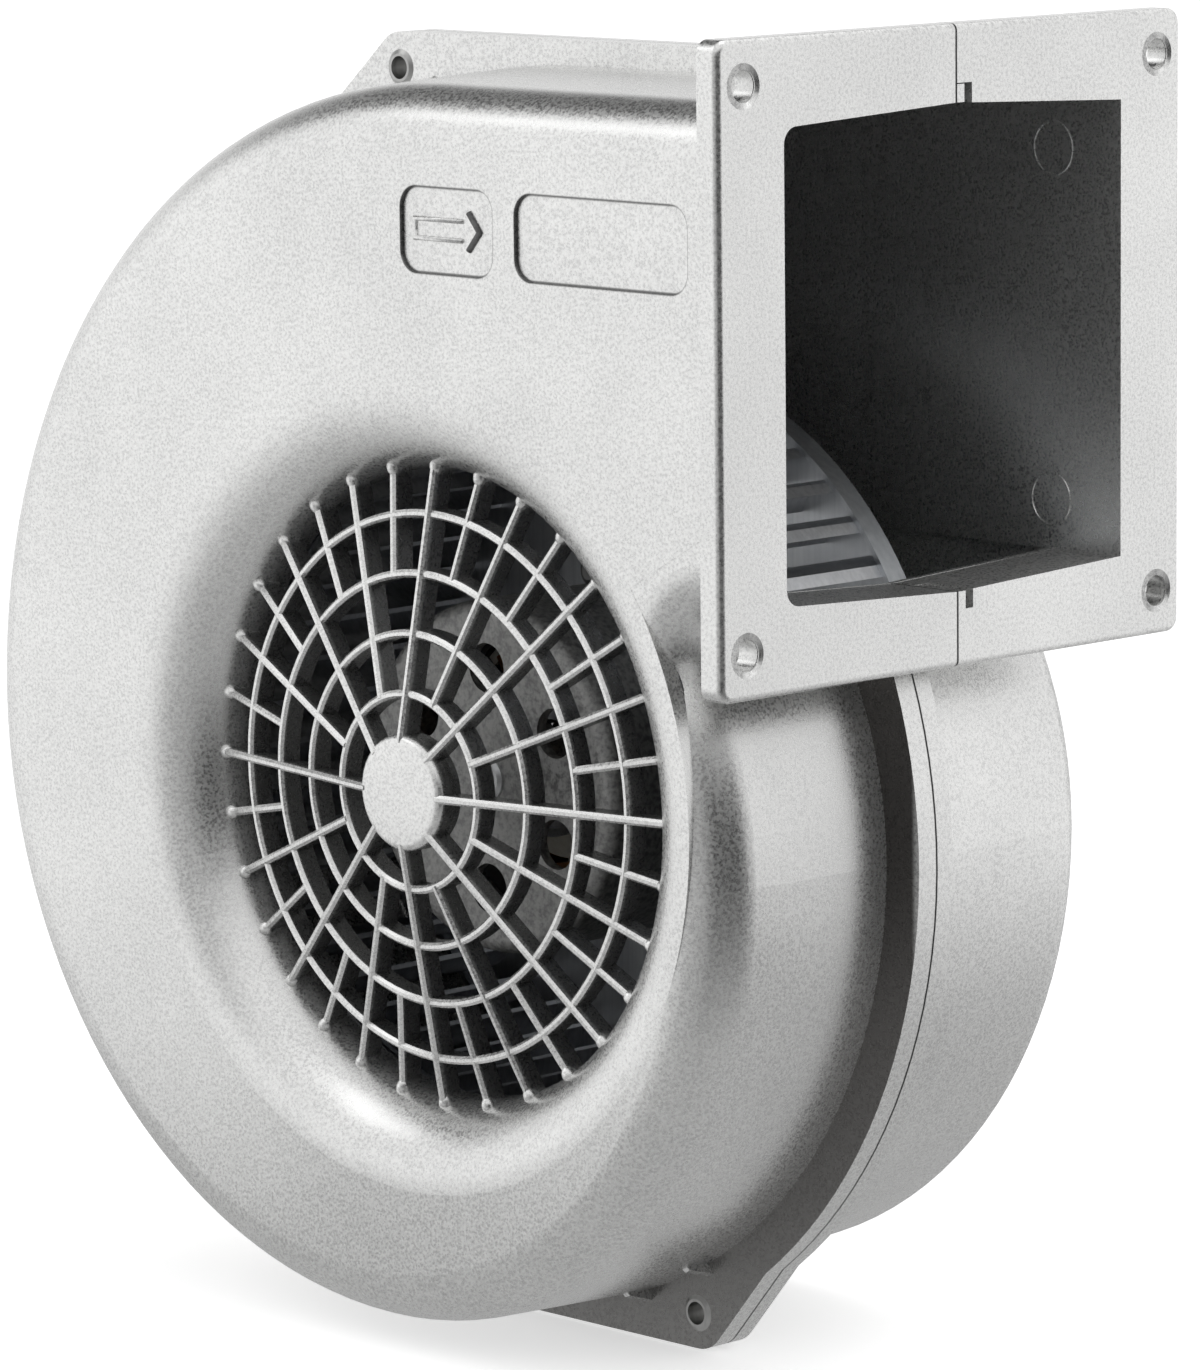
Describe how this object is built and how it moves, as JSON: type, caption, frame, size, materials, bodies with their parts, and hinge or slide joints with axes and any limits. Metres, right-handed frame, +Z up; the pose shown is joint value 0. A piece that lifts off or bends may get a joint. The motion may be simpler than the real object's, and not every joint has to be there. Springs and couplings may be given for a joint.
{
  "type": "centrifugal blower fan",
  "caption": "Single-inlet snail-shell blower: two-half cast aluminium housing, domed inlet guard, square flanged outlet, forward-curved wheel on an external-rotor motor",
  "frame": {"origin": "Centre of the outlet flange's face, on the joint plane between the two castings.", "axes": "+X points out of the outlet, +Z up, +Y from the inlet side to the motor side. The wheel turns about an axis along Y."},
  "size_m": [0.2168, 0.1154, 0.2396],
  "materials": {
    "cast_shell": "satin die-cast aluminium with a fine mottle",
    "rivet_steel": "rolled hollow steel rivets",
    "galvanised_sheet": "galvanised sheet steel",
    "blade_sheet": "rolled galvanised steel strip",
    "rotor_cast": "pale grey cast can",
    "magnet": "bonded ferrite",
    "ground_steel": "ground steel",
    "base_cast": "plain die-cast aluminium",
    "lamination": "stacked electrical sheet",
    "insulator": "ivory moulded plastic",
    "copper_wire": "enamelled copper wire",
    "board": "green solder mask",
    "chips": "black moulded chips",
    "screw_zinc": "zinc plated",
    "ball_steel": "polished balls in a pressed cage",
    "spring_steel": "blued spring steel",
    "grommet_rubber": "black rubber"
  },
  "bodies": {
    "housing": {"front_housing": "cast_shell", "back_housing": "cast_shell", "ear_rivets": "rivet_steel", "motor_base": "base_cast", "stator_core": "lamination", "front_insulator": "insulator", "rear_insulator": "insulator", "stator_windings": "copper_wire", "driver_board": "board", "driver_parts": "chips", "board_screws": "screw_zinc", "front_bearing_outer": "ground_steel", "rear_bearing_outer": "ground_steel", "wave_washer": "spring_steel", "base_screws": "screw_zinc", "cable_grommet": "grommet_rubber"},
    "rotor": {"impeller_backplate": "galvanised_sheet", "impeller_blades": "blade_sheet", "impeller_front_ring": "galvanised_sheet", "impeller_rivets": "rivet_steel", "rotor_can": "rotor_cast", "magnet_ring": "magnet", "shaft": "ground_steel", "front_bearing_inner": "ground_steel", "rear_bearing_inner": "ground_steel", "shaft_circlip": "spring_steel"},
    "front_cage": {"front_bearing_balls": "ball_steel"},
    "rear_cage": {"rear_bearing_balls": "ball_steel"}
  },
  "joints": [
    {"name": "impeller_spin", "type": "hinge", "parent": "housing", "child": "rotor", "pos_m": [-0.0923, 0, -0.0818], "axis": [0, 1, 0], "continuous": true},
    {"name": "front_cage_spin", "type": "hinge", "parent": "housing", "child": "front_cage", "pos_m": [-0.0923, 0, -0.0818], "axis": [0, 1, 0], "continuous": true},
    {"name": "rear_cage_spin", "type": "hinge", "parent": "housing", "child": "rear_cage", "pos_m": [-0.0923, 0, -0.0818], "axis": [0, 1, 0], "continuous": true}
  ],
  "couplings": [
    {"joint": "front_cage_spin", "follows": "impeller_spin", "ratio": 0.37333},
    {"joint": "rear_cage_spin", "follows": "impeller_spin", "ratio": 0.37333}
  ]
}
